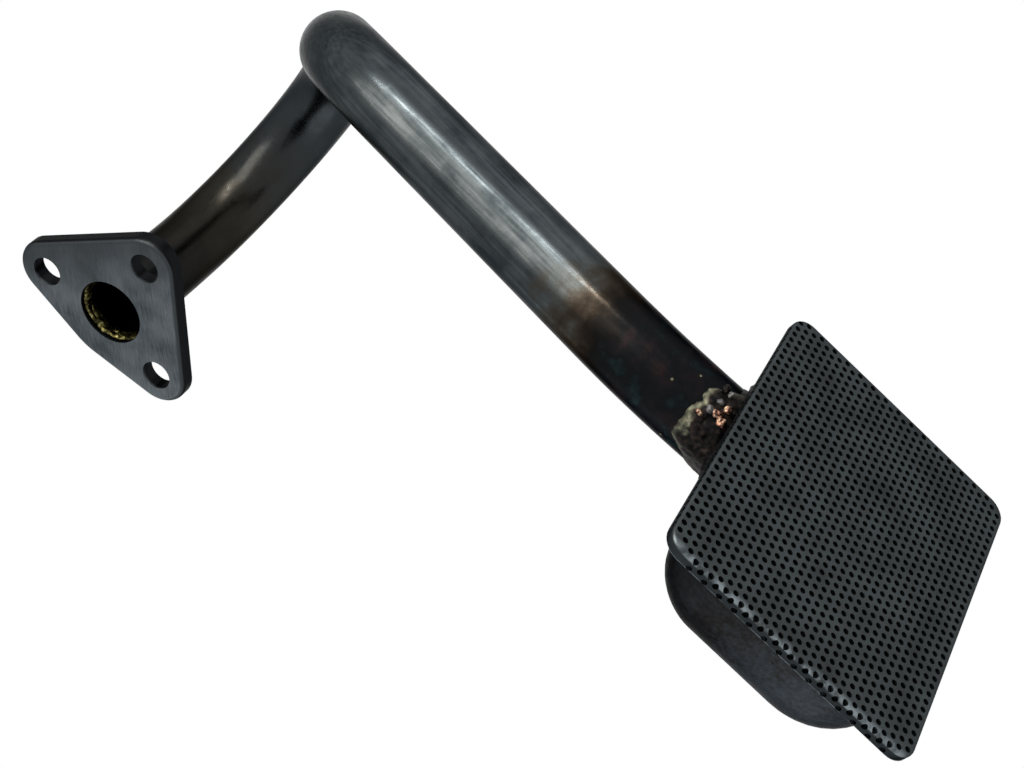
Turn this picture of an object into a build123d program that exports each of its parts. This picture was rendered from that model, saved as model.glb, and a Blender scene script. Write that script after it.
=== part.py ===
# Oil pickup for an engine sump: a three-hole mounting flange, a bent steel suction tube
# and a drawn strainer housing that is closed by a perforated screen.
# Frame: the origin is the centre of the oil port on the flange's mating face, +X points out of
# that face, +Z is up, and the screen faces down into the sump. Sizes are in millimetres.
import os
from math import cos, radians, sin, sqrt, tan

from build123d import *

# Mounting flange
flange_thickness = 5.5
flange_edge_radius = 2.0
port_diameter = 24.5
port_depth = 3.0
bolt_hole_diameter = 11.0
pair_hole_spacing = 52.0
pair_hole_height = 7.5
single_hole_drop = 28.2
bolt_ear_radius = 11.3
port_boss_radius = 23.0

# Suction tube, along straight runs joined by bends
tube_diameter = 26.0
tube_wall = 1.5
upper_bend_radius = 52.6
lower_bend_radius = 52.0
entry_bend_radius = 115.0
upper_corner = (-194.5, 0.0, 0.0)
lower_corner = (-34.1, 3.0, -126.5)
entry_corner = (20.4, -137.2, -167.8)
entry_slope = 4.5
entry_run = 45.0
socket_clearance = 0.05

# Strainer: the screen's rectangle, its place under the flange, and its turn about the vertical
screen_length = 108.0
screen_width = 84.5
screen_corner_radius = 6.0
screen_thickness = 1.0
screen_centre = (38.7, -197.4, -193.1)
screen_turn = -1.2
hem_width = 4.0
fold_radius = 0.9
hole_pitch = 3.0
hole_diameter = 1.8
holes_as_one = 3
hole_sides = 6
plain_margin = 3.5

# Drawn housing behind the screen
housing_wall = 1.5
housing_depth = 40.0
housing_inset = 5.2
housing_draft = 7.5
housing_bottom_radius = 27.0
housing_corner_radius = 17.0
bottom_corner_share = 0.7
bottom_steps = 4

# Braze metal
flange_bead_height = 3.5
flange_bead_length = 5.0
bead_clearance = 0.03
housing_bead_height = 3.5
housing_bead_width = 4.0

tube_radius = tube_diameter / 2
bore_radius = tube_radius - tube_wall
port_radius = port_diameter / 2
from_top = (Align.CENTER, Align.CENTER, Align.MAX)
strainer_place = Location(screen_centre, (0, 0, screen_turn))


def tube_path():
    """Centre line from the shoulder in the flange to the open end inside the housing."""
    run = (0.0, -entry_run * cos(radians(entry_slope)), -entry_run * sin(radians(entry_slope)))
    end = tuple(a + b for a, b in zip(entry_corner, run))
    radii = [upper_bend_radius, lower_bend_radius, entry_bend_radius]
    return FilletPolyline((-port_depth, 0, 0), upper_corner, lower_corner, entry_corner, end, radius=radii)


def along_tube(section):
    """Solid of a section drawn along the whole centre line."""
    path = tube_path()
    start = Plane(origin=path @ 0, z_dir=path % 0)
    return sweep(start * section, path=path)


def make_suction_tube():
    return along_tube(Circle(tube_radius)) - along_tube(Circle(bore_radius))


def make_mounting_flange():
    """Plate with three bolt ears, an oil port, and a socket that stops the tube at a shoulder."""
    pair = pair_hole_spacing / 2
    holes = [(pair, pair_hole_height), (-pair, pair_hole_height), (0, -single_hole_drop)]
    rounds = [Pos(y, z) * Edge.make_circle(bolt_ear_radius) for y, z in holes]
    rounds.append(Edge.make_circle(port_boss_radius))
    plate = extrude(make_hull(rounds), amount=-flange_thickness)
    plate = fillet(plate.faces().sort_by(Axis.Z)[-1].edges(), flange_edge_radius)
    drill = Cylinder(bolt_hole_diameter / 2, flange_thickness, align=from_top)
    plate -= [Pos(y, z) * drill for y, z in holes]
    plate -= Cylinder(port_radius, flange_thickness, align=from_top)
    socket = Cylinder(tube_radius + socket_clearance, flange_thickness - port_depth, align=from_top)
    return Plane.YZ * (plate - Pos(0, 0, -port_depth) * socket)


def outline(inset, height, corner_radius):
    """The screen's rectangle drawn in by an inset, at a height above the screen's outer face."""
    shape = RectangleRounded(screen_length - 2 * inset, screen_width - 2 * inset, corner_radius)
    return Plane.XY.offset(height) * shape


def bowl(offset):
    """The housing's outer form, or the form at an offset inside it."""
    shoulder = housing_depth - housing_bottom_radius
    radius = housing_bottom_radius - offset
    lean = tan(radians(housing_draft))
    inset = housing_inset + offset
    sections = [(inset, screen_thickness)]
    inset += lean * (shoulder - screen_thickness)
    for step in range(bottom_steps + 1):
        turn = radians(90 * step / bottom_steps)
        sections.append((inset + radius * (1 - cos(turn)), shoulder + radius * sin(turn)))
    first = sections[0][0]
    span = sections[-1][0] - first
    bottom_corner_radius = bottom_corner_share * (screen_width / 2 - sections[-1][0])
    narrowing = bottom_corner_radius - housing_corner_radius
    shapes = [outline(i, z, housing_corner_radius + narrowing * (i - first) / span) for i, z in sections]
    return loft(shapes, ruled=True)


def make_strainer_housing():
    """Drawn bowl with a flat rim, pierced in one wall for the tube."""
    edge = screen_thickness
    rim = extrude(outline(edge, edge, screen_corner_radius - edge), housing_wall)
    body = strainer_place * (rim + bowl(0) - bowl(housing_wall))
    return body - along_tube(Circle(tube_radius))


def hole_places():
    """Staggered rows of holes over the flat of the screen."""
    pitch = hole_pitch * holes_as_one
    row_gap = pitch * sqrt(3) / 2
    reach = plain_margin + hole_diameter * holes_as_one / 2
    half_length = screen_length / 2 - reach
    half_width = screen_width / 2 - reach
    rows = int(half_width / row_gap)
    places = []
    for row in range(-rows, rows + 1):
        shift = pitch / 2 * (row % 2)
        columns = int((half_length + shift) / pitch)
        for column in range(-columns, columns + 1):
            x = column * pitch + shift
            if abs(x) <= half_length:
                places.append((x, row * row_gap))
    return places


def make_perforated_screen():
    """Perforated sheet whose edges are folded round the housing's rim.

    Each modelled hole stands for a square of real ones, with the same open area.
    """
    edge = screen_thickness
    height = 2 * edge + housing_wall
    sheet = extrude(outline(0, 0, screen_corner_radius), height)
    sheet = fillet(sheet.faces().sort_by(Axis.Z)[0].edges(), fold_radius)
    sheet -= extrude(outline(edge, edge, screen_corner_radius - edge), housing_wall)
    sheet -= extrude(outline(hem_width, edge + housing_wall, screen_corner_radius - hem_width), edge)
    punch = extrude(RegularPolygon(hole_diameter * holes_as_one / 2, hole_sides), edge)
    return strainer_place * (sheet - [Pos(x, y) * punch for x, y in hole_places()])


def make_flange_braze():
    """Bead in the corner behind the flange, round the outside of the tube."""
    wall = tube_radius + bead_clearance
    corner = (-flange_thickness, wall)
    top = (-flange_thickness, wall + flange_bead_height)
    section = Polyline(corner, top, (-flange_thickness - flange_bead_length, wall), corner)
    return revolve(make_face(section), Axis.X)


def make_housing_braze():
    """Collar of braze where the tube enters the housing's wall."""
    sleeve = along_tube(Circle(tube_radius + housing_bead_width) - Circle(tube_radius))
    grown = strainer_place * bowl(-housing_bead_height)
    return (sleeve & grown) - strainer_place * bowl(0)


def main():
    nodes = {
        "mounting_flange": make_mounting_flange(),
        "suction_tube": make_suction_tube(),
        "strainer_housing": make_strainer_housing(),
        "perforated_screen": make_perforated_screen(),
        "flange_braze": make_flange_braze(),
        "housing_braze": make_housing_braze(),
    }
    os.makedirs("parts", exist_ok=True)
    for name, solid in nodes.items():
        export_step(solid, f"parts/{name}.step")


main()
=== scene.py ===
import math

import bpy
from mathutils import Matrix, Vector, noise


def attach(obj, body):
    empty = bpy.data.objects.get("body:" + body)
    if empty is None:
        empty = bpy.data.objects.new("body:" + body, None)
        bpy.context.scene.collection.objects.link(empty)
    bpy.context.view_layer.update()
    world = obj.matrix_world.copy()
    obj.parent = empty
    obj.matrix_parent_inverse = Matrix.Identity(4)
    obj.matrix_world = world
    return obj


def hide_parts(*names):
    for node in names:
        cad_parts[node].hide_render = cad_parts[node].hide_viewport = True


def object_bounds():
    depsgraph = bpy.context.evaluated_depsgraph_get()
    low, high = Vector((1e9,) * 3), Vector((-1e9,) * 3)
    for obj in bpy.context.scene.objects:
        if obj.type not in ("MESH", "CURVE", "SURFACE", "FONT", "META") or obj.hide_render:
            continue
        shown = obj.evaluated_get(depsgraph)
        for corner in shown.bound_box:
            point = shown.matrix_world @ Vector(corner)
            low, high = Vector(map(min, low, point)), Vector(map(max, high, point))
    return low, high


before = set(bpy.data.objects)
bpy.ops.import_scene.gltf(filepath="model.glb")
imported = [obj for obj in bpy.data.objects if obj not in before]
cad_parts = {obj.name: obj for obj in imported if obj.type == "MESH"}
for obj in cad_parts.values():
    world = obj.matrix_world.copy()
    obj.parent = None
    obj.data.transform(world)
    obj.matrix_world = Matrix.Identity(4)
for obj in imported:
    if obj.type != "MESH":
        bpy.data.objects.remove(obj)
cadLow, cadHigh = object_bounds()
print("frame loaded")

mm = 0.001


# Materials

def colour(hexValue):
    channels = [int(hexValue[i:i + 2], 16) / 255 for i in (1, 3, 5)]
    linear = [c / 12.92 if c <= 0.04045 else ((c + 0.055) / 1.055) ** 2.4 for c in channels]
    return (*linear, 1.0)


def addNode(material, kind, inputs=None, **settings):
    # adds one shader node; an input is a value, or a socket to link from
    node = material.node_tree.nodes.new("ShaderNode" + kind)
    for name, value in settings.items():
        setattr(node, name, value)
    for name, value in (inputs or {}).items():
        if isinstance(value, bpy.types.NodeSocket):
            material.node_tree.links.new(value, node.inputs[name])
        else:
            node.inputs[name].default_value = value
    return node


def newMaterial(name):
    material = bpy.data.materials.new(name)
    material.use_nodes = True
    material.node_tree.nodes.clear()
    return material


def setStops(ramp, stops):
    elements = ramp.color_ramp.elements
    while len(elements) > 1:
        elements.remove(elements[-1])
    elements[0].position, elements[0].color = stops[0][0], colour(stops[0][1])
    for position, hexValue in stops[1:]:
        elements.new(position).color = colour(hexValue)


def finishMetal(material, look, baseColour, roughness, relief, metallic=1.0, specular=0.5):
    # the shader itself, with one bump over the whole piece; its skin of oxide shines less at grazing angles
    strength, depth = look["bump"]
    bump = addNode(material, "Bump", {"Strength": strength, "Distance": depth, "Height": relief})
    shader = addNode(material, "BsdfPrincipled", {
        "Base Color": baseColour, "Roughness": roughness, "Metallic": metallic, "Specular IOR Level": specular,
        "Specular Tint": (look["grazing"],) * 3 + (1.0,), "Normal": bump.outputs["Normal"]})
    addNode(material, "OutputMaterial", {"Surface": shader.outputs["BSDF"]})
    return material


# Seamed mild steel tube, drawn and bent, its skin darkened all over, then blued and scaled by the torch at both ends
tubeLook = {
    "bright": "#464B4D",
    "dull": "#292E31",
    "blotch": 13 * mm,
    "line": 1.1 * mm,  # real drawing lines are finer; this coarse, they show
    "mainRun": (0.349, -0.898, -0.265),  # direction of the long straight run
    "mainRunHeight": (-60 * mm, -115 * mm),  # the lines turn into it between these heights
    "lineStretch": 0.95,  # how far the lines are drawn out along the tube, where 1 is without end
    "heatReach": 110 * mm,
    "heatDrift": 45 * mm,  # how far the blotches push the heat's edges
    "heats": (  # a joint, its colours by the distance from it, and where they fade, in shares of heatReach
        ((0.0285, -0.152, -0.1765), (
            (0.0, "#17181A"), (0.28, "#141415"), (0.34, "#161514"), (0.385, "#1F1B17"), (0.44, "#2C2722"),
            (0.50, "#383632"), (0.58, "#404444")), (0.46, 0.60)),
        ((-0.008, 0.0, 0.0), (
            (0.0, "#1A1B1C"), (0.22, "#1D1D1C"), (0.42, "#25231F"), (0.58, "#2C2B28"), (0.78, "#2E3133"),
            (1.0, "#33383B")), (0.90, 1.30)),
    ),
    "hottest": (0.26, 0.33),  # edge of the scaled part, in shares of heatReach
    "scale": (
        (0.32, "#1A2325"), (0.43, "#141618"), (0.53, "#18181A"), (0.62, "#201B1C"), (0.70, "#2D221D")),
    "scaleMottle": 9 * mm,
    "spatter": 7 * mm,  # spacing of the beads
    "spatterSize": 0.06,  # radius of a bead, in shares of the spacing
    "spatterColour": "#6A6452",
    # near-black tone of the bore's wall by the port
    "boreBlack": "#070706",
    "boreBlackRadius": 12.4 * mm,
    "boreBlackReach": 45 * mm,
    "grain": 0.9 * mm,
    "pits": 8 * mm,
    "roughness": (0.19, 0.38),  # of the bright parts and of the dull ones
    "bump": (0.32, 0.12 * mm),  # strength and depth
    "grazing": 0.45,  # share of the light that shines at a grazing angle
}


def makeTubeSteel():
    look = tubeLook
    m = newMaterial("brazedSteelTube")
    place = addNode(m, "TexCoord").outputs["Object"]
    parts = addNode(m, "SeparateXYZ", {"Vector": place})
    blotches = addNode(m, "TexNoise", {
        "Vector": place, "Scale": 1 / look["blotch"], "Detail": 7.0, "Roughness": 0.62}).outputs["Fac"]
    # drawing lines run along X on the leg behind the flange, and along the main run below it
    onMain = addNode(m, "MapRange", {
        "Value": parts.outputs["Z"], "From Min": look["mainRunHeight"][0], "From Max": look["mainRunHeight"][1]})
    axis = addNode(m, "Mix", {
        0: onMain.outputs["Result"], 4: (1.0, 0.0, 0.0), 5: look["mainRun"]}, data_type="VECTOR").outputs[1]
    along = addNode(m, "VectorMath", {0: place, 1: axis}, operation="DOT_PRODUCT").outputs["Value"]
    most = addNode(m, "Math", {0: along, 1: look["lineStretch"]}, operation="MULTIPLY").outputs[0]
    back = addNode(m, "VectorMath", {0: axis, "Scale": most}, operation="SCALE").outputs["Vector"]
    squashed = addNode(m, "VectorMath", {0: place, 1: back}, operation="SUBTRACT").outputs["Vector"]
    lines = addNode(m, "TexNoise", {"Vector": squashed, "Scale": 1 / look["line"], "Detail": 4.0}).outputs["Fac"]
    mixed = addNode(m, "Mix", {0: 0.45, 2: blotches, 3: lines}, data_type="FLOAT").outputs[0]
    blend = addNode(m, "MapRange", {"Value": mixed, "From Min": 0.38, "From Max": 0.62}).outputs["Result"]
    result = addNode(m, "Mix", {
        0: blend, 6: colour(look["dull"]), 7: colour(look["bright"])}, data_type="RGBA").outputs[2]
    wander = addNode(m, "Math", {0: blotches, 1: -0.5}, operation="ADD").outputs[0]
    drift = addNode(m, "Math", {0: wander, 1: look["heatDrift"]}, operation="MULTIPLY").outputs[0]
    # the heat's colours follow the distance from each joint: black beside it, then brown, then the steel's own grey
    distances = []
    for joint, stops, fade in look["heats"]:
        away = addNode(m, "VectorMath", {0: place, 1: joint}, operation="DISTANCE").outputs["Value"]
        uneven = addNode(m, "Math", {0: away, 1: drift}, operation="ADD").outputs[0]
        distance = addNode(m, "Math", {0: uneven, 1: 1 / look["heatReach"]}, operation="MULTIPLY").outputs[0]
        tint = addNode(m, "ValToRGB", {"Fac": distance})
        setStops(tint, stops)
        mask = addNode(m, "MapRange", {
            "Value": distance, "From Min": fade[0], "From Max": fade[1], "To Min": 1.0, "To Max": 0.0},
            interpolation_type="SMOOTHSTEP").outputs["Result"]
        result = addNode(m, "Mix", {0: mask, 6: result, 7: tint.outputs["Color"]}, data_type="RGBA").outputs[2]
        distances.append(distance)
    # nearest the housing the scale is mottled blue-black, teal and red-brown
    hottest = addNode(m, "MapRange", {
        "Value": distances[0], "From Min": look["hottest"][0], "From Max": look["hottest"][1],
        "To Min": 1.0, "To Max": 0.0}).outputs["Result"]
    mottle = addNode(m, "TexNoise", {
        "Vector": place, "Scale": 1 / look["scaleMottle"], "Detail": 5.0, "Roughness": 0.6})
    scale = addNode(m, "ValToRGB", {"Fac": mottle.outputs["Fac"]})
    setStops(scale, look["scale"])
    result = addNode(m, "Mix", {0: hottest, 6: result, 7: scale.outputs["Color"]}, data_type="RGBA").outputs[2]
    # a few tiny beads of braze spattered on it
    spots = addNode(m, "TexVoronoi", {
        "Vector": place, "Scale": 1 / look["spatter"]}, feature="F1").outputs["Distance"]
    spot = addNode(m, "Math", {0: spots, 1: look["spatterSize"]}, operation="LESS_THAN").outputs[0]
    spatter = addNode(m, "Math", {0: spot, 1: hottest}, operation="MULTIPLY").outputs[0]
    result = addNode(m, "Mix", {0: spatter, 6: result, 7: colour(look["spatterColour"])}, data_type="RGBA").outputs[2]
    # the wall of the bore is near black, where the open port shows it
    across = addNode(m, "CombineXYZ", {"Y": parts.outputs["Y"], "Z": parts.outputs["Z"]}).outputs["Vector"]
    reach = addNode(m, "VectorMath", {0: across}, operation="LENGTH").outputs["Value"]
    inside = addNode(m, "Math", {0: reach, 1: look["boreBlackRadius"]}, operation="LESS_THAN").outputs[0]
    near = addNode(m, "Math", {0: parts.outputs["X"], 1: -look["boreBlackReach"]}, operation="GREATER_THAN").outputs[0]
    both = addNode(m, "Math", {0: inside, 1: near}, operation="MULTIPLY").outputs[0]
    result = addNode(m, "Mix", {0: both, 6: result, 7: colour(look["boreBlack"])}, data_type="RGBA").outputs[2]
    rough = addNode(m, "MapRange", {
        "Value": mixed, "From Min": 0.36, "From Max": 0.62,
        "To Min": look["roughness"][1], "To Max": look["roughness"][0]}).outputs["Result"]
    grain = addNode(m, "TexNoise", {"Vector": place, "Scale": 1 / look["grain"], "Detail": 3.0}).outputs["Fac"]
    pits = addNode(m, "TexVoronoi", {"Vector": place, "Scale": 1 / look["pits"]}, feature="F1").outputs["Distance"]
    pit = addNode(m, "MapRange", {"Value": pits, "From Min": 0.03, "From Max": 0.09}).outputs["Result"]
    fine = addNode(m, "Mix", {0: 0.5, 2: grain, 3: lines}, data_type="FLOAT").outputs[0]
    low = addNode(m, "Math", {0: fine, 1: 0.5}, operation="MULTIPLY").outputs[0]
    relief = addNode(m, "Math", {0: low, 1: pit}, operation="ADD").outputs[0]
    return finishMetal(m, look, result, rough, relief)


# Mild steel plate, blanked and then ground on its face: fine straight scratches that all run one way
flangeLook = {
    "light": "#5C6266",
    "dark": "#353A3D",
    # tone of the painted shade, on the ear nearest the bent leg and on the rounded edge below its painted highlight
    "paintedShade": "#363A3D",
    # light tone of the painted highlight along the top of the rounded edge
    "edge": "#6C7275",
    "side": "#1A1B1D",
    "scratchWidth": 0.55 * mm,  # real grinding marks are finer than 0.1 mm; this coarse, they show
    "scratchLength": 8 * mm,
    "scratchTurn": math.radians(50.0),
    "clouds": 13 * mm,
    "paintedShadeWay": (0.0, 0.816, -0.578),  # from the port towards the bent leg, the way the painted shade deepens
    "paintedShadeReach": (5 * mm, 24 * mm),  # along that way, where the painted shade begins and where it is deepest
    "rounding": (-0.20 * mm, -0.02 * mm),  # behind the face, where the rounded edge shows
    "highlightHeight": (12 * mm, 17 * mm),  # above the port's centre, between which the rounded edge passes into its painted highlight
    "sideStart": (-1.0 * mm, -0.6 * mm),  # behind the face, where the dark side starts
    "roughness": (0.30, 0.48),
    "bump": (0.22, 0.05 * mm),
    "grazing": 0.5,
}


def makeFlangeSteel():
    look = flangeLook
    m = newMaterial("groundSteelPlate")
    place = addNode(m, "TexCoord").outputs["Object"]
    turned = addNode(m, "Mapping", {"Vector": place, "Rotation": (look["scratchTurn"], 0.0, 0.0)}).outputs["Vector"]
    drawn = addNode(m, "VectorMath", {
        0: turned, 1: (1.0, 1 / look["scratchLength"], 1 / look["scratchWidth"])}, operation="MULTIPLY")
    scratches = addNode(m, "TexNoise", {
        "Vector": drawn.outputs["Vector"], "Scale": 1.0, "Detail": 5.0, "Roughness": 0.72}).outputs["Fac"]
    clouds = addNode(m, "TexNoise", {"Vector": place, "Scale": 1 / look["clouds"], "Detail": 4.0}).outputs["Fac"]
    mixed = addNode(m, "Mix", {0: 0.5, 2: scratches, 3: clouds}, data_type="FLOAT").outputs[0]
    blend = addNode(m, "MapRange", {"Value": mixed, "From Min": 0.36, "From Max": 0.62}).outputs["Result"]
    result = addNode(m, "Mix", {
        0: blend, 6: colour(look["dark"]), 7: colour(look["light"])}, data_type="RGBA").outputs[2]
    # painted shade: the face is painted darker towards the ear nearest the bent leg
    outward = addNode(m, "VectorMath", {0: place, 1: look["paintedShadeWay"]}, operation="DOT_PRODUCT").outputs["Value"]
    paintedShade = addNode(m, "MapRange", {
        "Value": outward, "From Min": look["paintedShadeReach"][0], "From Max": look["paintedShadeReach"][1],
        "To Min": 0.0, "To Max": 0.75}).outputs["Result"]
    result = addNode(m, "Mix", {0: paintedShade, 6: result, 7: colour(look["paintedShade"])}, data_type="RGBA").outputs[2]
    # the rounded edge gets a painted highlight along the top and the painted shade's tone below it, and the sides
    # behind it are dark
    parts = addNode(m, "SeparateXYZ", {"Vector": place})
    depth = parts.outputs["X"]
    rounded = addNode(m, "MapRange", {
        "Value": depth, "From Min": look["rounding"][0], "From Max": look["rounding"][1],
        "To Min": 0.9, "To Max": 0.0}).outputs["Result"]
    upper = addNode(m, "MapRange", {
        "Value": parts.outputs["Z"], "From Min": look["highlightHeight"][0], "From Max": look["highlightHeight"][1]})
    edge = addNode(m, "Mix", {
        0: upper.outputs["Result"], 6: colour(look["paintedShade"]), 7: colour(look["edge"])}, data_type="RGBA").outputs[2]
    result = addNode(m, "Mix", {0: rounded, 6: result, 7: edge}, data_type="RGBA").outputs[2]
    behind = addNode(m, "MapRange", {
        "Value": depth, "From Min": look["sideStart"][0], "From Max": look["sideStart"][1],
        "To Min": 1.0, "To Max": 0.0}).outputs["Result"]
    result = addNode(m, "Mix", {0: behind, 6: result, 7: colour(look["side"])}, data_type="RGBA").outputs[2]
    rough = addNode(m, "MapRange", {
        "Value": scratches, "From Min": 0.3, "From Max": 0.7,
        "To Min": look["roughness"][0], "To Max": look["roughness"][1]}).outputs["Result"]
    return finishMetal(m, look, result, rough, scratches)


# Deep drawn mild steel, left blue-black and brown by the heat of brazing
housingLook = {
    "blue": "#3B4045",
    "brown": "#292725",
    "black": "#18181A",
    "patch": 24 * mm,
    "mottle": 1.6 * mm,
    "fine": 2.5 * mm,
    "scorch": (-222 * mm, -166 * mm),  # along Y, from the far side to the tube's side
    "roughness": (0.34, 0.50),
    "bump": (0.15, 0.06 * mm),
    "grazing": 0.4,
}


def makeHousingSteel():
    look = housingLook
    m = newMaterial("heatedDrawnSteel")
    place = addNode(m, "TexCoord").outputs["Object"]
    patches = addNode(m, "TexNoise", {
        "Vector": place, "Scale": 1 / look["patch"], "Detail": 8.0, "Roughness": 0.62}).outputs["Fac"]
    fine = addNode(m, "TexNoise", {"Vector": place, "Scale": 1 / look["fine"], "Detail": 4.0}).outputs["Fac"]
    mottle = addNode(m, "TexNoise", {
        "Vector": place, "Scale": 1 / look["mottle"], "Detail": 4.0, "Roughness": 0.7}).outputs["Fac"]
    mixed = addNode(m, "Mix", {0: 0.5, 2: patches, 3: mottle}, data_type="FLOAT").outputs[0]
    blend = addNode(m, "MapRange", {"Value": mixed, "From Min": 0.40, "From Max": 0.60}).outputs["Result"]
    result = addNode(m, "Mix", {
        0: blend, 6: colour(look["brown"]), 7: colour(look["blue"])}, data_type="RGBA").outputs[2]
    # the side that the tube enters took the most heat
    across = addNode(m, "SeparateXYZ", {"Vector": place}).outputs["Y"]
    scorch = addNode(m, "MapRange", {
        "Value": across, "From Min": look["scorch"][0], "From Max": look["scorch"][1],
        "To Min": 0.0, "To Max": 0.85}).outputs["Result"]
    result = addNode(m, "Mix", {0: scorch, 6: result, 7: colour(look["black"])}, data_type="RGBA").outputs[2]
    rough = addNode(m, "MapRange", {
        "Value": fine, "From Min": 0.3, "From Max": 0.7,
        "To Min": look["roughness"][0], "To Max": look["roughness"][1]}).outputs["Result"]
    return finishMetal(m, look, result, rough, fine)


# Perforated screen: one sheet with its edges folded round the housing's rim
screen = {
    "length": 108.0 * mm,
    "width": 84.5 * mm,
    "sheet": 1.0 * mm,
    "rim": 1.5 * mm,
    "cornerRadius": 6.0 * mm,
    "foldRadius": 0.9 * mm,
    "backRadius": 0.45 * mm,
    "hem": 4.0 * mm,
    "centre": (38.7 * mm, -197.4 * mm, -193.1 * mm),
    "turn": math.radians(-1.2),
    "pitch": 3.0 * mm,
    "holeRadius": 0.9 * mm,
    "holeSides": 12,
    "punchDepth": 1.5 * mm,
    "punchHeight": 0.35 * mm,
    "flatInset": 0.65 * mm,  # no hole of the face has its centre nearer to the outline than this
    "shift": 0.6 * mm,  # of the pattern, along a row
    "rowShift": -1.0 * mm,  # of the pattern, across the rows
}
rowGap = screen["pitch"] * math.sqrt(3) / 2
strainerPlace = Matrix.Translation(screen["centre"]) @ Matrix.Rotation(screen["turn"], 4, "Z")


# Perforated cold-rolled sheet with a satin, slightly oily face, darker on the side where its edge is folded up, and a
# highlight painted on the fold at one end
screenLook = {
    "face": "#43484A",
    "stain": "#373A3B",
    # colour of the painted highlight on the fold
    "foldHighlight": "#7C8589",
    "side": "#2B2F31",
    "patch": 16 * mm,
    "grain": 0.7 * mm,
    # size of the patches of the painted highlight
    "foldHighlightPatch": 4 * mm,
    "foldHighlightBand": (51.0 * mm, 53.4 * mm),  # along the screen from its middle, where the fold's painted highlight lies
    "darkSideStart": (0.5 * mm, 0.9 * mm),  # height over the outer face, where the darker side starts
    "darkSideEnd": (3.0 * mm, 3.2 * mm),
    "roughness": (0.34, 0.46),
    "bump": (0.12, 0.05 * mm),
    "grazing": 0.35,
}


def makeScreenSteel():
    look = screenLook
    m = newMaterial("perforatedSteelSheet")
    place = addNode(m, "TexCoord").outputs["Object"]
    patches = addNode(m, "TexNoise", {
        "Vector": place, "Scale": 1 / look["patch"], "Detail": 6.0, "Roughness": 0.65}).outputs["Fac"]
    fine = addNode(m, "TexNoise", {"Vector": place, "Scale": 1 / look["grain"], "Detail": 2.0}).outputs["Fac"]
    blend = addNode(m, "MapRange", {"Value": patches, "From Min": 0.4, "From Max": 0.66}).outputs["Result"]
    result = addNode(m, "Mix", {
        0: blend, 6: colour(look["face"]), 7: colour(look["stain"])}, data_type="RGBA").outputs[2]
    height = addNode(m, "SeparateXYZ", {"Vector": place}).outputs["Z"]
    base = screen["centre"][2]  # height of the outer face
    # painted highlight: the fold at the end that looks towards the flange is painted bright, in patches
    foldHighlightPatch = addNode(m, "TexNoise", {"Vector": place, "Scale": 1 / look["foldHighlightPatch"], "Detail": 5.0}).outputs["Fac"]
    patchy = addNode(m, "MapRange", {"Value": foldHighlightPatch, "From Min": 0.40, "From Max": 0.58}).outputs["Result"]
    lengthways = strainerPlace.col[0].to_3d()
    along = addNode(m, "VectorMath", {0: place, 1: lengthways}, operation="DOT_PRODUCT").outputs["Value"]
    middle = Vector(screen["centre"]).dot(lengthways)
    onFoldHighlight = addNode(m, "MapRange", {
        "Value": along, "From Min": middle + look["foldHighlightBand"][0],
        "From Max": middle + look["foldHighlightBand"][1]}).outputs["Result"]
    foldHighlightMask = addNode(m, "Math", {0: onFoldHighlight, 1: patchy}, operation="MULTIPLY").outputs[0]
    result = addNode(m, "Mix", {0: foldHighlightMask, 6: result, 7: colour(look["foldHighlight"])}, data_type="RGBA").outputs[2]
    # the side is darker from just above the outer face up to the back edge, which is left lighter
    above = addNode(m, "MapRange", {
        "Value": height, "From Min": base + look["darkSideStart"][0],
        "From Max": base + look["darkSideStart"][1]}).outputs["Result"]
    hemEdge = addNode(m, "MapRange", {
        "Value": height, "From Min": base + look["darkSideEnd"][0], "From Max": base + look["darkSideEnd"][1],
        "To Min": 1.0, "To Max": 0.3}).outputs["Result"]
    darkSide = addNode(m, "Math", {0: above, 1: hemEdge}, operation="MULTIPLY").outputs[0]
    result = addNode(m, "Mix", {0: darkSide, 6: result, 7: colour(look["side"])}, data_type="RGBA").outputs[2]
    rough = addNode(m, "MapRange", {
        "Value": fine, "From Min": 0.3, "From Max": 0.7,
        "To Min": look["roughness"][0], "To Max": look["roughness"][1]}).outputs["Result"]
    return finishMetal(m, look, result, rough, fine)


# Brass brazing rod run into the joints: lumpy, part burnt grey and brown, part bright where it was last molten
brazeLook = {
    "grain": 1.3 * mm,
    "patch": 5 * mm,
    "bump": (0.4, 0.2 * mm),
    "grazing": 0.6,
    "crustSpecular": 0.15,  # where a matt crust lies on the metal
}


def makeBraze(name, stops, roughness, metallic, rimStops=None):
    look = brazeLook
    m = newMaterial(name)
    place = addNode(m, "TexCoord").outputs["Object"]
    patches = addNode(m, "TexNoise", {
        "Vector": place, "Scale": 1 / look["patch"], "Detail": 8.0, "Roughness": 0.72}).outputs["Fac"]
    fine = addNode(m, "TexNoise", {"Vector": place, "Scale": 1 / look["grain"], "Detail": 5.0}).outputs["Fac"]
    mixed = addNode(m, "Mix", {0: 0.45, 2: patches, 3: fine}, data_type="FLOAT").outputs[0]
    tint = addNode(m, "ValToRGB", {"Fac": mixed})
    setStops(tint, stops)
    result = tint.outputs["Color"]
    if rimStops:
        # flux burnt to an olive grey crust along the thin rim
        crust = addNode(m, "ValToRGB", {"Fac": mixed})
        setStops(crust, rimStops)
        rim = addNode(m, "Attribute", attribute_name="rim").outputs["Fac"]
        result = addNode(m, "Mix", {0: rim, 6: result, 7: crust.outputs["Color"]}, data_type="RGBA").outputs[2]
    rough = addNode(m, "MapRange", {
        "Value": fine, "From Min": 0.3, "From Max": 0.7,
        "To Min": roughness[0], "To Max": roughness[1]}).outputs["Result"]
    specular = look["crustSpecular"] if rimStops else 0.5
    return finishMetal(m, look, result, rough, fine, metallic, specular)


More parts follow.
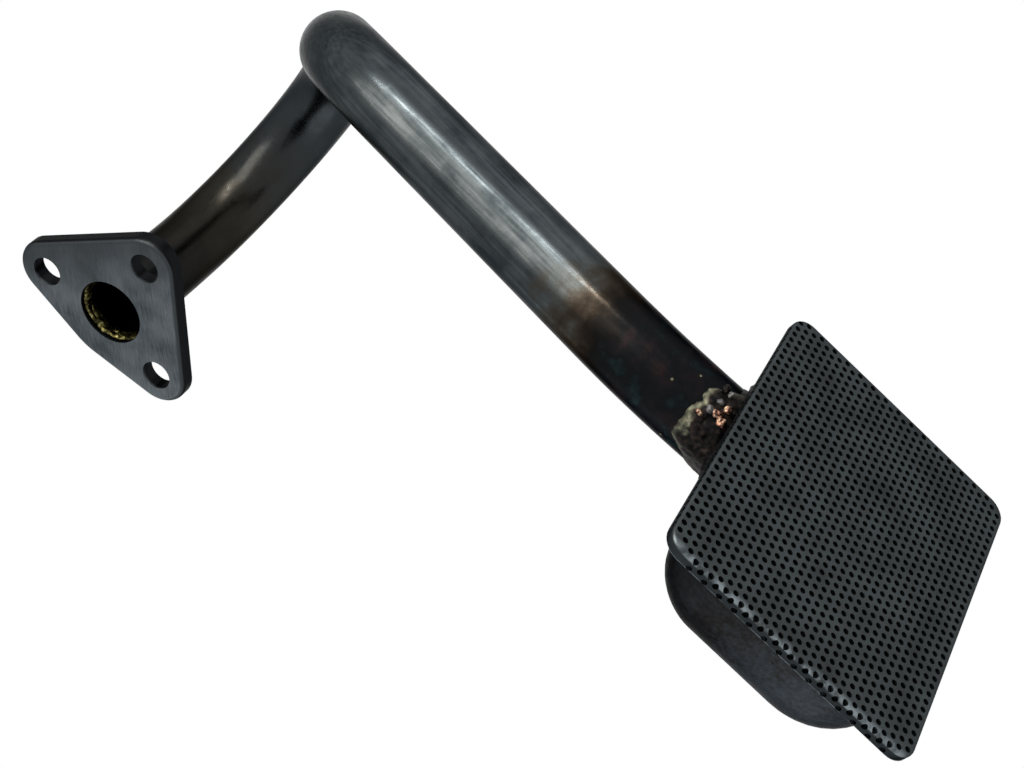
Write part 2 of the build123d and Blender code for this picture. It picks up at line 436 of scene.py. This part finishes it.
tubeSteel = makeTubeSteel()
flangeSteel = makeFlangeSteel()
housingSteel = makeHousingSteel()
screenSteel = makeScreenSteel()
burntBraze = makeBraze("burntBraze", (
    (0.38, "#0B0B0D"), (0.47, "#121112"), (0.53, "#1C1817"), (0.58, "#2A2320"), (0.64, "#3C332D"),
    (0.71, "#5E574E")), (0.40, 0.62), 0.6, (
    (0.38, "#33342E"), (0.47, "#55564A"), (0.55, "#757562"), (0.63, "#A09F8C")))
darkBraze = makeBraze("darkBraze", (
    (0.38, "#111214"), (0.48, "#1B1E21"), (0.56, "#25292C"), (0.66, "#33373A")), (0.40, 0.60), 0.6)
copperBraze = makeBraze("copperColouredBraze", (
    (0.40, "#17100E"), (0.47, "#4A3228"), (0.52, "#977060"), (0.58, "#C8AC90"), (0.64, "#82503F")), (0.30, 0.48), 0.8)
brassBraze = makeBraze("brassBraze", (
    (0.38, "#12110A"), (0.47, "#2A2817"), (0.54, "#504C2C"), (0.60, "#827D50"), (0.67, "#CFC998")), (0.30, 0.48), 1.0)
fluxGlass = makeBraze("fluxGlass", (  # borax flux that ran into glassy grey beads
    (0.38, "#2A292B"), (0.48, "#4A494B"), (0.56, "#747371"), (0.66, "#A9A79F")), (0.12, 0.25), 0.0)
for node, material in (("mounting_flange", flangeSteel), ("suction_tube", tubeSteel)):
    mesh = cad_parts[node].data
    mesh.materials.clear()
    mesh.materials.append(material)
print("materials made")


# Modelling helpers

def activate(obj):
    bpy.ops.object.select_all(action="DESELECT")
    obj.select_set(True)
    bpy.context.view_layer.objects.active = obj


def namePiece(name):
    piece = bpy.context.object
    piece.name = name
    piece.data.name = name
    return piece


def applyPlace(obj, matrix):
    # the piece's place goes into its mesh, and its object stays at the origin
    obj.matrix_world = matrix
    activate(obj)
    bpy.ops.object.transform_apply(location=True, rotation=True, scale=True)


def addModifier(obj, kind, **settings):
    modifier = obj.modifiers.new(kind.lower(), kind)
    for name, value in settings.items():
        setattr(modifier, name, value)
    activate(obj)
    bpy.ops.object.modifier_apply(modifier=modifier.name)


def carve(obj, tool):
    addModifier(obj, "BOOLEAN", operation="DIFFERENCE", object=tool, solver="MANIFOLD")
    bpy.data.objects.remove(tool)


def selectEdges(obj, wanted):
    # in edit mode: selects the edges that wanted accepts, given their two end points, and nothing else
    bpy.ops.mesh.select_mode(type="EDGE")
    bpy.ops.mesh.select_all(action="DESELECT")
    bpy.ops.object.mode_set(mode="OBJECT")
    for edge in obj.data.edges:
        ends = [obj.data.vertices[i].co for i in edge.vertices]
        edge.select = wanted(*ends)
    bpy.ops.object.mode_set(mode="EDIT")


def disc(name, radius, sides):
    bpy.ops.mesh.primitive_circle_add(vertices=sides, radius=radius, fill_type="NGON", location=(0, 0, 0))
    return namePiece(name)


def drawUp(piece, levels):
    # the piece's one face is drawn up through the levels, each a height and a size along X and along Y
    activate(piece)
    bpy.ops.object.mode_set(mode="EDIT")
    bpy.ops.mesh.select_mode(type="FACE")
    bpy.ops.mesh.select_all(action="SELECT")
    for (low, wide, deep), (high, nextWide, nextDeep) in zip(levels, levels[1:]):
        bpy.ops.mesh.extrude_region_move(TRANSFORM_OT_translate={"value": (0, 0, high - low)})
        bpy.ops.transform.resize(value=(nextWide / wide, nextDeep / deep, 1.0), center_override=(0, 0, 0))
    bpy.ops.mesh.select_all(action="SELECT")
    bpy.ops.mesh.normals_make_consistent(inside=False)
    bpy.ops.object.mode_set(mode="OBJECT")


def openEnds(piece, faceInward=False):
    # the two end faces go, which are the only ones with more than four corners
    activate(piece)
    for face in piece.data.polygons:
        face.select = len(face.vertices) > 4
    bpy.ops.object.mode_set(mode="EDIT")
    bpy.ops.mesh.delete(type="FACE")
    if faceInward:
        bpy.ops.mesh.select_all(action="SELECT")
        bpy.ops.mesh.flip_normals()
    bpy.ops.object.mode_set(mode="OBJECT")


def roughen(piece, lumps):
    # moves each point along its normal by smooth noise; a lump is an amount and a size
    points = [(vertex, vertex.co.copy(), vertex.normal.copy()) for vertex in piece.data.vertices]
    for vertex, place, normal in points:
        for amount, size in lumps:
            vertex.co += normal * amount * noise.noise(place / size)


def finishPiece(piece, smoothAngle, material=None, node=None):
    activate(piece)
    bpy.ops.object.shade_smooth_by_angle(angle=math.radians(smoothAngle))
    if material:
        piece.data.materials.clear()
        piece.data.materials.append(material)
    if node:
        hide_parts(node)
    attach(piece, "root")
    print(piece.name, len(piece.data.polygons), "faces")


def roundedBlock(name, length, width, low, high, cornerRadius, foldRadius=0.0, backRadius=0.0):
    bpy.ops.mesh.primitive_cube_add(size=1.0, location=(0, 0, (low + high) / 2), scale=(length, width, high - low))
    block = namePiece(name)
    applyPlace(block, block.matrix_world.copy())
    bpy.ops.object.mode_set(mode="EDIT")
    selectEdges(block, lambda a, b: abs(a.z - b.z) > (high - low) / 2)
    bpy.ops.mesh.bevel(offset=cornerRadius, segments=8, profile=0.5)
    for level, radius, steps in ((low, foldRadius, 4), (high, backRadius, 2)):
        if radius:
            selectEdges(block, lambda a, b: abs(a.z - level) < 1e-6 and abs(b.z - level) < 1e-6)
            bpy.ops.mesh.bevel(offset=radius, segments=steps, profile=0.5)
    bpy.ops.object.mode_set(mode="OBJECT")
    return block


def punchGrid(place, turn, rows):
    # one punch, repeated along each of the rows; a row is a count and an offset
    p = screen
    bpy.ops.mesh.primitive_cylinder_add(vertices=p["holeSides"], radius=p["holeRadius"], depth=p["punchDepth"])
    punch = namePiece("punch")
    applyPlace(punch, Matrix.Translation(place) @ turn)
    for count, offset in rows:
        addModifier(punch, "ARRAY", use_relative_offset=False, use_constant_offset=True, count=count,
                    constant_offset_displace=offset)
    return punch


def joinAll(pieces):
    activate(pieces[0])
    for piece in pieces:
        piece.select_set(True)
    bpy.ops.object.join()
    return pieces[0]


def facePunches():
    p = screen
    columns = int(p["length"] / 2 / p["pitch"]) + 1
    rows = int(p["width"] / 4 / rowGap) + 1
    grids = []
    for phase in (0, 1):
        across = (phase / 2 - columns) * p["pitch"] + p["shift"]
        start = (across, (phase - 2 * rows) * rowGap + p["rowShift"], p["punchHeight"])
        grids.append(punchGrid(start, Matrix.Identity(4), (
            (2 * columns + 1, (p["pitch"], 0, 0)), (2 * rows + 1, (0, 2 * rowGap, 0)))))
    punches = joinAll(grids)
    # punches beyond the flat of the sheet are deleted; the points of each one stand in one run
    radius = p["cornerRadius"] - p["flatInset"]
    points = 2 * p["holeSides"]
    vertices = punches.data.vertices
    bpy.ops.object.mode_set(mode="EDIT")
    bpy.ops.mesh.select_mode(type="VERT")
    bpy.ops.mesh.select_all(action="DESELECT")
    bpy.ops.object.mode_set(mode="OBJECT")
    for start in range(0, len(vertices), points):
        run = vertices[start:start + points]
        centre = sum((vertex.co for vertex in run), Vector()) / points
        pastX = max(0.0, abs(centre.x) - p["length"] / 2 + p["cornerRadius"])
        pastY = max(0.0, abs(centre.y) - p["width"] / 2 + p["cornerRadius"])
        if math.hypot(pastX, pastY) > radius:
            for vertex in run:
                vertex.select = True
    bpy.ops.object.mode_set(mode="EDIT")
    bpy.ops.mesh.delete(type="VERT")
    bpy.ops.object.mode_set(mode="OBJECT")
    return punches


def sidePunches():
    # the pattern goes on over the fold; only the holes that clear the fold and the hem's edge show as holes
    p = screen
    foldUsed = p["foldRadius"] * (2 - math.pi / 2)
    depth = p["sheet"] / 3  # of a punch's middle under the side's face, so that it goes right through the sheet
    highest = 2 * p["sheet"] + p["rim"] - p["holeRadius"]
    grids = []

    def addRow(start, axis, row):
        if p["holeRadius"] < start[2] < highest:
            grids.append(punchGrid(start, Matrix.Rotation(math.pi / 2, 4, axis), (row,)))

    for sign in (-1, 1):
        half = p["length"] / 2
        for phase in (0, 1):
            offset = sign * (p["shift"] + phase * p["pitch"] / 2)
            unrolled = math.ceil((half - p["flatInset"] - offset) / p["pitch"]) * p["pitch"] + offset
            pairs = int(((p["width"] / 2 - p["cornerRadius"]) / rowGap + phase) / 2)
            first = (phase - 2 * pairs) * rowGap + p["rowShift"]
            start = (sign * (half - depth), first, unrolled - half + foldUsed)
            addRow(start, "Y", (2 * pairs + 1 - phase, (0, 2 * rowGap, 0)))
        half = p["width"] / 2
        row = math.ceil((half - p["flatInset"] - sign * p["rowShift"]) / rowGap)
        unrolled = row * rowGap + sign * p["rowShift"]
        offset = p["shift"] + row % 2 * p["pitch"] / 2
        reach = p["length"] / 2 - p["cornerRadius"]
        before, after = int((reach + offset) / p["pitch"]), int((reach - offset) / p["pitch"])
        start = (offset - before * p["pitch"], sign * (half - depth), unrolled - half + foldUsed)
        addRow(start, "X", (before + after + 1, (p["pitch"], 0, 0)))
    return joinAll(grids)


def makeScreen():
    p = screen
    height = 2 * p["sheet"] + p["rim"]
    sheet = roundedBlock(
        "perforatedScreen", p["length"], p["width"], 0.0, height, p["cornerRadius"], p["foldRadius"], p["backRadius"])
    pocket = roundedBlock(
        "pocket", p["length"] - 2 * p["sheet"], p["width"] - 2 * p["sheet"], p["sheet"], p["sheet"] + p["rim"],
        p["cornerRadius"] - p["sheet"])
    carve(sheet, pocket)
    opening = roundedBlock(
        "opening", p["length"] - 2 * p["hem"], p["width"] - 2 * p["hem"], p["sheet"] + p["rim"] / 2, height * 2,
        p["cornerRadius"] - p["hem"] / 2)
    carve(sheet, opening)
    carve(sheet, facePunches())
    carve(sheet, sidePunches())
    applyPlace(sheet, strainerPlace)
    finishPiece(sheet, 28, screenSteel, "perforated_screen")


makeScreen()


# Strainer housing: drawn bowl with a flat rim, pierced where the tube comes in
housing = {
    "wall": 1.5 * mm,
    "depth": 40.0 * mm,
    "inset": 5.2 * mm,
    "lean": math.tan(math.radians(7.5)),
    "bottomRadius": 27.0 * mm,
    "cornerRadius": 17.0 * mm,
    "starts": (1.2 * mm, 0.5 * mm),  # of the outer form, inside the rim, and of the inner one, below it
    "steps": 16,
    "entry": (20.4 * mm, -172.0 * mm, -170.6 * mm),
    "entrySlope": math.radians(4.5),
    "entryRadius": 13.02 * mm,
    "entryReach": 46.0 * mm,
}


def bowlForm(name, offset, start):
    p = housing
    shoulder = p["depth"] - p["bottomRadius"]
    radius = p["bottomRadius"] - offset
    inset = p["inset"] + offset
    sections = [(start, inset)]
    inset += p["lean"] * (shoulder - screen["sheet"])
    for step in range(p["steps"] + 1):
        turn = math.radians(90 * step / p["steps"])
        sections.append((shoulder + radius * math.sin(turn), inset + radius * (1 - math.cos(turn))))
    levels = [(height, screen["length"] - 2 * drawnIn, screen["width"] - 2 * drawnIn) for height, drawnIn in sections]
    bpy.ops.mesh.primitive_plane_add(size=1.0, location=(0, 0, 0))
    form = namePiece(name)
    applyPlace(form, Matrix.Translation((0, 0, start)) @ Matrix.Diagonal((levels[0][1], levels[0][2], 1.0, 1.0)))
    bpy.ops.object.mode_set(mode="EDIT")
    bpy.ops.mesh.select_mode(type="VERT")
    bpy.ops.mesh.select_all(action="SELECT")
    bpy.ops.mesh.bevel(offset=p["cornerRadius"] - offset, segments=12, profile=0.5, affect="VERTICES")
    bpy.ops.object.mode_set(mode="OBJECT")
    drawUp(form, levels)
    return form


def makeHousing():
    p = housing
    sheet = screen["sheet"]
    outerStart, innerStart = p["starts"]
    body = roundedBlock(
        "strainerHousing", screen["length"] - 2 * sheet, screen["width"] - 2 * sheet, sheet, sheet + p["wall"],
        screen["cornerRadius"] - sheet)
    outer = bowlForm("outer", 0.0, outerStart)
    addModifier(body, "BOOLEAN", operation="UNION", object=outer, solver="MANIFOLD")
    bpy.data.objects.remove(outer)
    carve(body, bowlForm("inner", p["wall"], innerStart))
    applyPlace(body, strainerPlace)
    bpy.ops.mesh.primitive_cylinder_add(vertices=96, radius=p["entryRadius"], depth=p["entryReach"])
    cutter = namePiece("cutter")
    applyPlace(cutter, Matrix.Translation(p["entry"]) @ Matrix.Rotation(math.pi / 2 + p["entrySlope"], 4, "X"))
    carve(body, cutter)
    finishPiece(body, 30, housingSteel, "strainer_housing")


makeHousing()


# Braze in the corner behind the flange: an uneven fillet round the tube
flangeBead = {
    "place": -5.5 * mm,
    "tubeRadius": 13.0 * mm,
    "boreRadius": 12.8 * mm,
    "reach": 3.4 * mm,
    "length": 4.9 * mm,
    "taper": 0.9,
    "steps": 12,
    "sides": 120,
    "lumps": ((0.5 * mm, 4.5 * mm), (0.22 * mm, 1.6 * mm)),
}
backward = Matrix.Rotation(-math.pi / 2, 4, "Y")  # turns a piece's own +Z to the row's -X


def makeFlangeBraze():
    p = flangeBead
    levels = []
    for step in range(p["steps"] + 1):
        along = step / p["steps"]
        radius = p["tubeRadius"] + p["reach"] * (1 - along) ** p["taper"]
        levels.append((along * p["length"], radius, radius))
    bead = disc("flangeBraze", levels[0][1], p["sides"])
    drawUp(bead, levels)
    roughen(bead, p["lumps"])
    bpy.ops.mesh.primitive_cylinder_add(vertices=p["sides"], radius=p["boreRadius"], depth=p["length"] * 4)
    carve(bead, namePiece("bore"))
    applyPlace(bead, Matrix.Translation((p["place"], 0, 0)) @ backward)
    finishPiece(bead, 60, darkBraze, "flange_braze")


makeFlangeBraze()


# Brass that ran through the flange's socket and stands in the port as an uneven ring
portRing = {
    "place": -1.9 * mm,
    "wallRadius": 12.4 * mm,
    "thickness": 1.25 * mm,
    "length": 5.4 * mm,
    "fullness": 0.6,
    "steps": 20,
    "sides": 140,
    "lumps": ((0.5 * mm, 3.2 * mm), (0.3 * mm, 1.1 * mm)),
}


def makePortRing():
    p = portRing
    levels = []
    for step in range(p["steps"] + 1):
        along = step / p["steps"]
        radius = p["wallRadius"] - p["thickness"] * math.sin(math.pi * along) ** p["fullness"]
        levels.append((along * p["length"], radius, radius))
    ring = disc("portBrass", levels[0][1], p["sides"])
    drawUp(ring, levels)
    openEnds(ring, faceInward=True)
    roughen(ring, p["lumps"])
    applyPlace(ring, Matrix.Translation((p["place"], 0, 0)) @ backward)
    finishPiece(ring, 60, brassBraze)


makePortRing()


# Braze where the tube enters the housing: a lumpy collar in the corner, and a burnt skin that ran up the tube
housingBead = {
    "before": (-34.1 * mm, 3.0 * mm, -126.5 * mm),
    "corner": (20.4 * mm, -137.2 * mm, -167.8 * mm),
    "bendRadius": 115.0 * mm,
    "tubeRadius": 13.0 * mm,
    "low": -3.0 * mm,
    "high": 15.0 * mm,
    "rings": 50,
    "sides": 220,
    "thickness": 1.2 * mm,
    "sunk": -0.9 * mm,  # how far the skin lies under the tube's face where it has ended
    "reach": (4.5 * mm, 12.2 * mm),  # up the tube, on the far side and on the torch's side
    "side": (0.84, 0.10, -0.54),  # direction of the torch's side
    "facing": (0.40, 0.80),  # cosines between which a point passes from the far side to the torch's side
    "farThickness": 0.4,  # share of the thickness that is left on the far side
    "lumps": ((0.9 * mm, 3.6 * mm), (0.5 * mm, 1.5 * mm)),
    "rim": (0.25 * mm, 0.40 * mm),  # thickness of the skin where its crust is palest, and the range about it
    "collarLumps": ((0.8 * mm, 3.5 * mm), (0.35 * mm, 1.2 * mm)),
    "dropLumps": ((0.45 * mm, 1.3 * mm), (0.2 * mm, 0.6 * mm)),
    "weld": 0.002 * mm,
    "voxel": 0.5 * mm,
}
brazeDrops = (  # material, place and half sizes in millimetres, where the braze and its flux stood in drops
    (copperBraze, (29.6, -153.3, -180.4), (1.2, 1.9, 1.3)),
    (copperBraze, (27.3, -154.6, -181.9), (1.2, 1.3, 1.0)),
    (copperBraze, (30.4, -155.4, -179.9), (1.6, 1.6, 1.3)),
    (copperBraze, (31.2, -149.2, -177.7), (0.9, 1.0, 0.8)),
    (fluxGlass, (26.7, -151.7, -182.0), (1.0, 1.1, 0.9)),
    (fluxGlass, (29.8, -150.8, -179.9), (1.25, 1.25, 1.15)),
    (burntBraze, (22.2, -150.8, -183.0), (1.7, 1.3, 1.0)),
    (fluxGlass, (22.6, -152.6, -183.1), (0.9, 0.9, 0.8)),
)


def tubeFrame(back):
    # on the centre line, at a distance back from the end of the last bend: the point, the direction, and the
    # side towards the bend's centre
    p = housingBead
    corner = Vector(p["corner"])
    before = (corner - Vector(p["before"])).normalized()
    after = Vector((0.0, -math.cos(housing["entrySlope"]), -math.sin(housing["entrySlope"])))
    end = corner + after * p["bendRadius"] * math.tan(before.angle(after) / 2)
    inward = (after * before.dot(after) - before).normalized()
    if back <= 0:
        return end - after * back, after, inward
    turn = back / p["bendRadius"]
    point = end + (inward * (1 - math.cos(turn)) - after * math.sin(turn)) * p["bendRadius"]
    return point, after * math.cos(turn) - inward * math.sin(turn), inward * math.cos(turn) + after * math.sin(turn)


def makeHousingBraze():
    p = housingBead
    step = (p["high"] - p["low"]) / p["rings"]
    skin = disc("housingBraze", p["tubeRadius"], p["sides"])
    drawUp(skin, [(p["low"] + ring * step, 1.0, 1.0) for ring in range(p["rings"] + 1)])
    openEnds(skin)
    rim = skin.data.attributes.new("rim", "FLOAT", "POINT")
    torchSide = Vector(p["side"])
    fromFacing, toFacing = p["facing"]
    farReach, nearReach = p["reach"]
    for vertex in skin.data.vertices:
        back = vertex.co.z + p["low"]
        point, direction, side = tubeFrame(back)
        outward = (side * vertex.co.x + direction.cross(side) * vertex.co.y).normalized()
        facing = min(1.0, max(0.0, (outward.dot(torchSide) - fromFacing) / (toFacing - fromFacing)))
        share = max(back, 0.0) / (farReach + (nearReach - farReach) * facing)
        place = point + outward * p["tubeRadius"]
        uneven = sum(amount * noise.noise(place / size) for amount, size in p["lumps"])
        # full beside the joint, thinner and smoother as it runs out
        height = p["thickness"] * (1 - share ** 4) + uneven * (1 - 0.5 * min(share, 1.0))
        if share < 1:
            height *= p["farThickness"] + (1 - p["farThickness"]) * facing
        rim.data[vertex.index].value = facing * max(0.0, 1 - abs(height - p["rim"][0]) / p["rim"][1])
        vertex.co = point + outward * (p["tubeRadius"] + max(height, p["sunk"]))
    skin.data.materials.append(burntBraze)
    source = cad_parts["housing_braze"]
    collar = bpy.data.objects.new("collar", source.data.copy())
    bpy.context.scene.collection.objects.link(collar)
    applyPlace(collar, source.matrix_world.copy())
    bpy.ops.object.mode_set(mode="EDIT")
    bpy.ops.mesh.select_all(action="SELECT")
    bpy.ops.mesh.remove_doubles(threshold=p["weld"])
    bpy.ops.object.mode_set(mode="OBJECT")
    addModifier(collar, "REMESH", mode="VOXEL", voxel_size=p["voxel"])
    roughen(collar, p["collarLumps"])
    collar.data.materials.clear()
    collar.data.materials.append(burntBraze)
    parts = [skin, collar]
    for material, place, halves in brazeDrops:
        bpy.ops.mesh.primitive_ico_sphere_add(subdivisions=4, radius=1.0)
        drop = namePiece("drop")
        applyPlace(drop, Matrix.Translation(Vector(place) * mm) @ Matrix.Diagonal((*(Vector(halves) * mm), 1.0)))
        roughen(drop, p["dropLumps"])
        drop.data.materials.append(material)
        parts.append(drop)
    joinAll(parts)
    finishPiece(skin, 60, node="housing_braze")


makeHousingBraze()


# Studio: camera at the photograph's angle, soft lamps, pale floor, white surroundings
view = {
    "place": (0.4252, -0.0680, -0.4999),
    "right": (-0.43186, -0.71614, -0.54830),
    "down": (0.52583, -0.69382, 0.49205),
    "lens": 65.4,
    "sensor": 36.0,
    "clipStart": 0.01,
}


def makeCamera():
    right = Vector(view["right"])
    up = -Vector(view["down"])
    back = right.cross(up)
    matrix = Matrix((right, up, back)).transposed().to_4x4()
    matrix.translation = view["place"]
    bpy.ops.object.camera_add()
    camera = bpy.context.object
    camera.matrix_world = matrix
    camera.data.lens = view["lens"]
    camera.data.sensor_width = view["sensor"]
    camera.data.sensor_fit = "HORIZONTAL"
    camera.data.clip_start = view["clipStart"]
    bpy.context.scene.camera = camera


studio = {
    "aim": (0.0, -0.09, -0.12),
    "lamps": (  # name, direction from the object, distance, width, height, watts, colour
        ("keyStrip", (0.13, 0.74, -0.66), 0.9, 0.03, 0.45, 3.6, "#FFFCF7"),
        ("keySoft", (0.50, 0.78, -0.33), 0.9, 0.42, 0.85, 5.2, "#FFF6EA"),
        ("sideSoft", (-0.55, 0.46, -0.70), 0.9, 0.55, 0.9, 0.7, "#FFFFFF"),
        ("topSoft", (0.35, -0.25, 0.90), 1.1, 0.9, 0.9, 2.0, "#FFFFFF"),
    ),
    "surroundings": 1.0,
    "ambient": 0.6,
    "floorColour": "#E9E9E7",
    "floorSize": 30.0,
    "floorGap": 0.5 * mm,
}


def makeStudio():
    aim = Vector(studio["aim"])
    for name, direction, distance, width, height, watts, tone in studio["lamps"]:
        away = Vector(direction).normalized()
        bpy.ops.object.light_add(type="AREA", location=aim + away * distance)
        lamp = namePiece(name)
        lamp.data.shape = "RECTANGLE"
        lamp.data.size, lamp.data.size_y = width, height
        lamp.data.energy = watts
        lamp.data.color = colour(tone)[:3]
        lamp.rotation_mode = "QUATERNION"
        lamp.rotation_quaternion = away.to_track_quat("Z", "Y")
    world = bpy.data.worlds.new("surroundings")
    world.use_nodes = True
    world.node_tree.nodes.clear()
    bpy.context.scene.world = world
    path = addNode(world, "LightPath")
    seen = addNode(world, "Math", {
        0: path.outputs["Is Camera Ray"], 1: path.outputs["Is Glossy Ray"]}, operation="MAXIMUM")
    seen = addNode(world, "Math", {0: seen.outputs[0], 1: path.outputs["Is Transmission Ray"]}, operation="MAXIMUM")
    strength = addNode(world, "MapRange", {
        "Value": seen.outputs[0], "To Min": studio["ambient"], "To Max": studio["surroundings"]})
    light = addNode(world, "Background", {"Color": (1, 1, 1, 1), "Strength": strength.outputs["Result"]})
    addNode(world, "OutputWorld", {"Surface": light.outputs["Background"]})
    # the camera looks up from under the floor, so the floor shows only from above
    bpy.ops.mesh.primitive_plane_add(
        size=studio["floorSize"], location=(aim.x, aim.y, cadLow.z - studio["floorGap"]))
    floor = namePiece("floor")
    material = newMaterial("paleFloor")
    paint = addNode(material, "BsdfDiffuse", {"Color": colour(studio["floorColour"])})
    clear = addNode(material, "BsdfTransparent")
    below = addNode(material, "NewGeometry").outputs["Backfacing"]
    oneSided = addNode(material, "MixShader", {
        "Fac": below, 1: paint.outputs["BSDF"], 2: clear.outputs["BSDF"]})
    addNode(material, "OutputMaterial", {"Surface": oneSided.outputs["Shader"]})
    floor.data.materials.append(material)
    floor.visible_shadow = floor.visible_diffuse = floor.visible_glossy = floor.visible_transmission = False
    bpy.context.scene.view_settings.view_transform = "Standard"


makeCamera()
makeStudio()
print("studio made")
